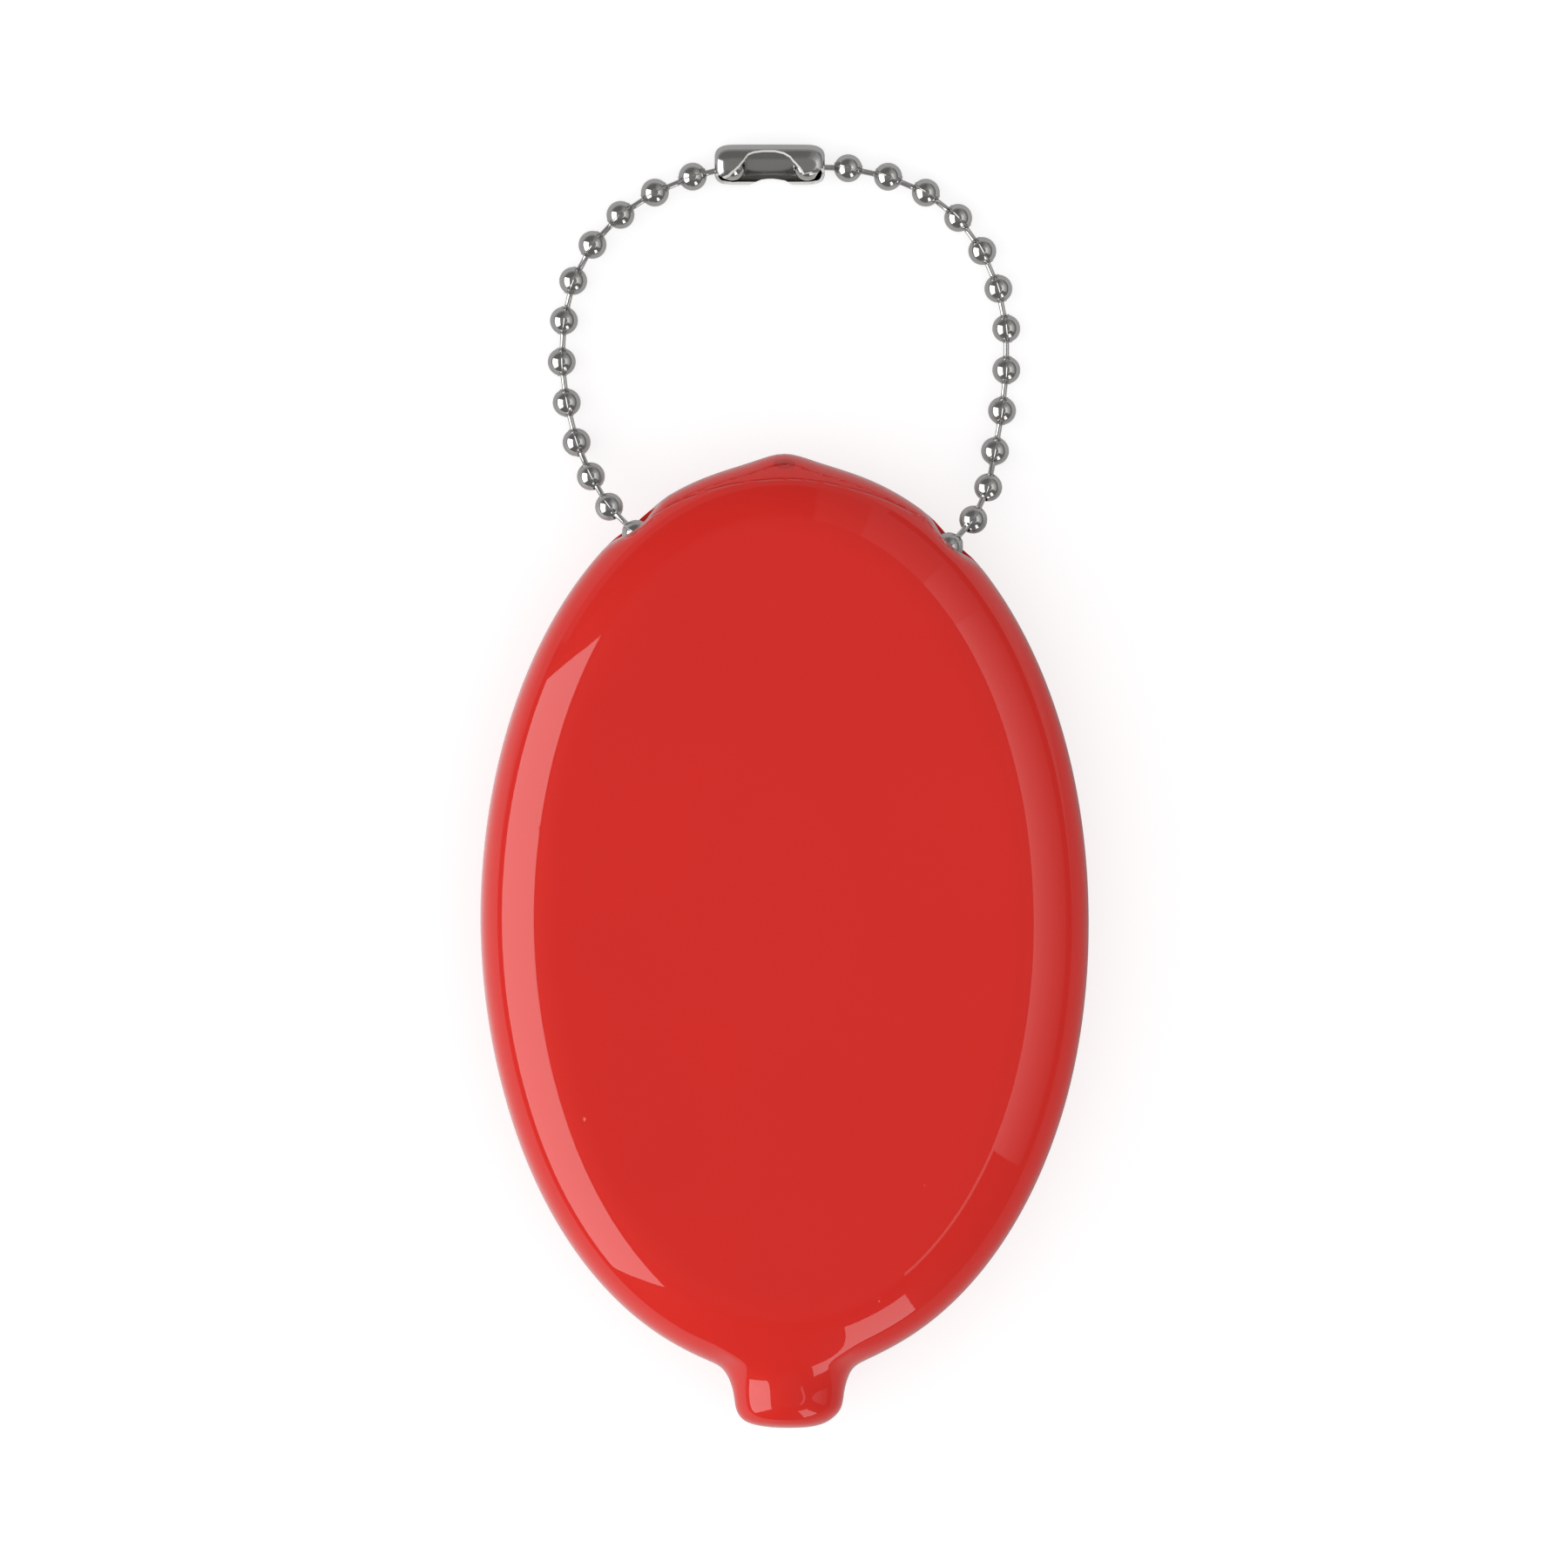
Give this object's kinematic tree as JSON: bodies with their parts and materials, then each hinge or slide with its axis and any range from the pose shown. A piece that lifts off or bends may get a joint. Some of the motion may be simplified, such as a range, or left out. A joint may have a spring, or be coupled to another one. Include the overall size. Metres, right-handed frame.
{
  "type": "squeeze coin purse",
  "caption": "Oval moulded vinyl squeeze coin purse with a lengthwise slit in its back, a neck, a drip tip and a looped ball chain through its upper rim.",
  "frame": {"origin": "centre of the oval, on the flat back that the purse lies on", "axes": "+X across the purse, +Y along it from the neck to the chain, +Z out through the front"},
  "size_m": [0.0518, 0.1093, 0.013],
  "materials": {
    "vinyl": "gloss",
    "bead": "polished nickel plate",
    "link_wire": "polished nickel plate",
    "clasp": "polished nickel plate"
  },
  "bodies": {
    "pouch": {"pouch_shell": "vinyl", "hidden_beads": "bead", "hidden_link_wires": "link_wire", "left_bead_00": "bead", "right_bead_00": "bead"},
    "left_lip": {"left_lip": "vinyl"},
    "right_lip": {"right_lip": "vinyl"},
    "chain_row_01": {"left_bead_01": "bead", "right_bead_01": "bead", "left_link_wire_01": "link_wire", "right_link_wire_01": "link_wire"},
    "chain_row_02": {"left_bead_02": "bead", "right_bead_02": "bead", "left_link_wire_02": "link_wire", "right_link_wire_02": "link_wire"},
    "chain_row_03": {"left_bead_03": "bead", "right_bead_03": "bead", "left_link_wire_03": "link_wire", "right_link_wire_03": "link_wire"},
    "chain_row_04": {"left_bead_04": "bead", "right_bead_04": "bead", "left_link_wire_04": "link_wire", "right_link_wire_04": "link_wire"},
    "chain_row_05": {"left_bead_05": "bead", "right_bead_05": "bead", "left_link_wire_05": "link_wire", "right_link_wire_05": "link_wire"},
    "chain_row_06": {"left_bead_06": "bead", "right_bead_06": "bead", "left_link_wire_06": "link_wire", "right_link_wire_06": "link_wire"},
    "chain_row_07": {"left_bead_07": "bead", "right_bead_07": "bead", "left_link_wire_07": "link_wire", "right_link_wire_07": "link_wire"},
    "chain_row_08": {"left_bead_08": "bead", "right_bead_08": "bead", "left_link_wire_08": "link_wire", "right_link_wire_08": "link_wire"},
    "chain_row_09": {"left_bead_09": "bead", "right_bead_09": "bead", "left_link_wire_09": "link_wire", "right_link_wire_09": "link_wire"},
    "chain_row_10": {"left_bead_10": "bead", "right_bead_10": "bead", "left_link_wire_10": "link_wire", "right_link_wire_10": "link_wire"},
    "chain_row_11": {"left_bead_11": "bead", "right_bead_11": "bead", "left_link_wire_11": "link_wire", "right_link_wire_11": "link_wire"},
    "chain_crown": {"left_bead_12": "bead", "left_link_wire_12": "link_wire", "right_bead_12": "bead", "right_link_wire_12": "link_wire", "right_bead_13": "bead", "right_link_wire_13": "link_wire", "chain_clasp": "clasp"}
  },
  "joints": [
    {"name": "back_slit_left", "type": "hinge", "parent": "pouch", "child": "left_lip", "pos_m": [-0.018, 0, 0], "axis": [0, 1, 0], "range_deg": [0, 50], "stiffness_Nm_per_rad": 0.02},
    {"name": "back_slit_right", "type": "hinge", "parent": "pouch", "child": "right_lip", "pos_m": [0.018, 0, 0], "axis": [0, 1, 0], "range_deg": [-50, 0], "stiffness_Nm_per_rad": 0.02},
    {"name": "chain_fold_01", "type": "hinge", "parent": "pouch", "child": "chain_row_01", "pos_m": [0.00063, 0.03326, 0.00585], "axis": [0.9991, -0.0426, 0], "range_deg": [-25, 25]},
    {"name": "chain_fold_02", "type": "hinge", "parent": "chain_row_01", "child": "chain_row_02", "pos_m": [0.00053, 0.03546, 0.00382], "axis": [0.9995, -0.0329, 0], "range_deg": [-20, 25]},
    {"name": "chain_fold_03", "type": "hinge", "parent": "chain_row_02", "child": "chain_row_03", "pos_m": [0.00034, 0.03827, 0.00221], "axis": [0.9997, -0.0258, 0], "range_deg": [-15, 25]},
    {"name": "chain_fold_04", "type": "hinge", "parent": "chain_row_03", "child": "chain_row_04", "pos_m": [0.00008, 0.04142, 0.0012], "axis": [0.9998, -0.0203, 0], "range_deg": [-15, 20]},
    {"name": "chain_fold_05", "type": "hinge", "parent": "chain_row_04", "child": "chain_row_05", "pos_m": [-0.00002, 0.04486, 0.0012], "axis": [0.9998, -0.0187, 0], "range_deg": [-12, 15]},
    {"name": "chain_fold_06", "type": "hinge", "parent": "chain_row_05", "child": "chain_row_06", "pos_m": [-0.00001, 0.04834, 0.0012], "axis": [0.9998, -0.0182, 0], "range_deg": [-12, 15]},
    {"name": "chain_fold_07", "type": "hinge", "parent": "chain_row_06", "child": "chain_row_07", "pos_m": [0.00007, 0.05182, 0.0012], "axis": [0.9998, -0.0182, 0], "range_deg": [-12, 15]},
    {"name": "chain_fold_08", "type": "hinge", "parent": "chain_row_07", "child": "chain_row_08", "pos_m": [0.00015, 0.05516, 0.0012], "axis": [0.9998, -0.0176, 0], "range_deg": [-12, 15]},
    {"name": "chain_fold_09", "type": "hinge", "parent": "chain_row_08", "child": "chain_row_09", "pos_m": [0.0003, 0.05818, 0.0012], "axis": [0.9999, -0.0141, 0], "range_deg": [-12, 15]},
    {"name": "chain_fold_10", "type": "hinge", "parent": "chain_row_09", "child": "chain_row_10", "pos_m": [0.00044, 0.06067, 0.0012], "axis": [1, -0.0068, 0], "range_deg": [-12, 15]},
    {"name": "chain_fold_11", "type": "hinge", "parent": "chain_row_10", "child": "chain_row_11", "pos_m": [0.0005, 0.0625, 0.0012], "axis": [1, -0.0005, 0], "range_deg": [-12, 15]},
    {"name": "chain_fold_12", "type": "hinge", "parent": "chain_row_11", "child": "chain_crown", "pos_m": [0.0005, 0.06369, 0.00124], "axis": [1, -0.003, -0.0061], "range_deg": [-12, 15]}
  ],
  "couplings": [
    {"joint": "back_slit_right", "follows": "back_slit_left", "ratio": -1}
  ]
}
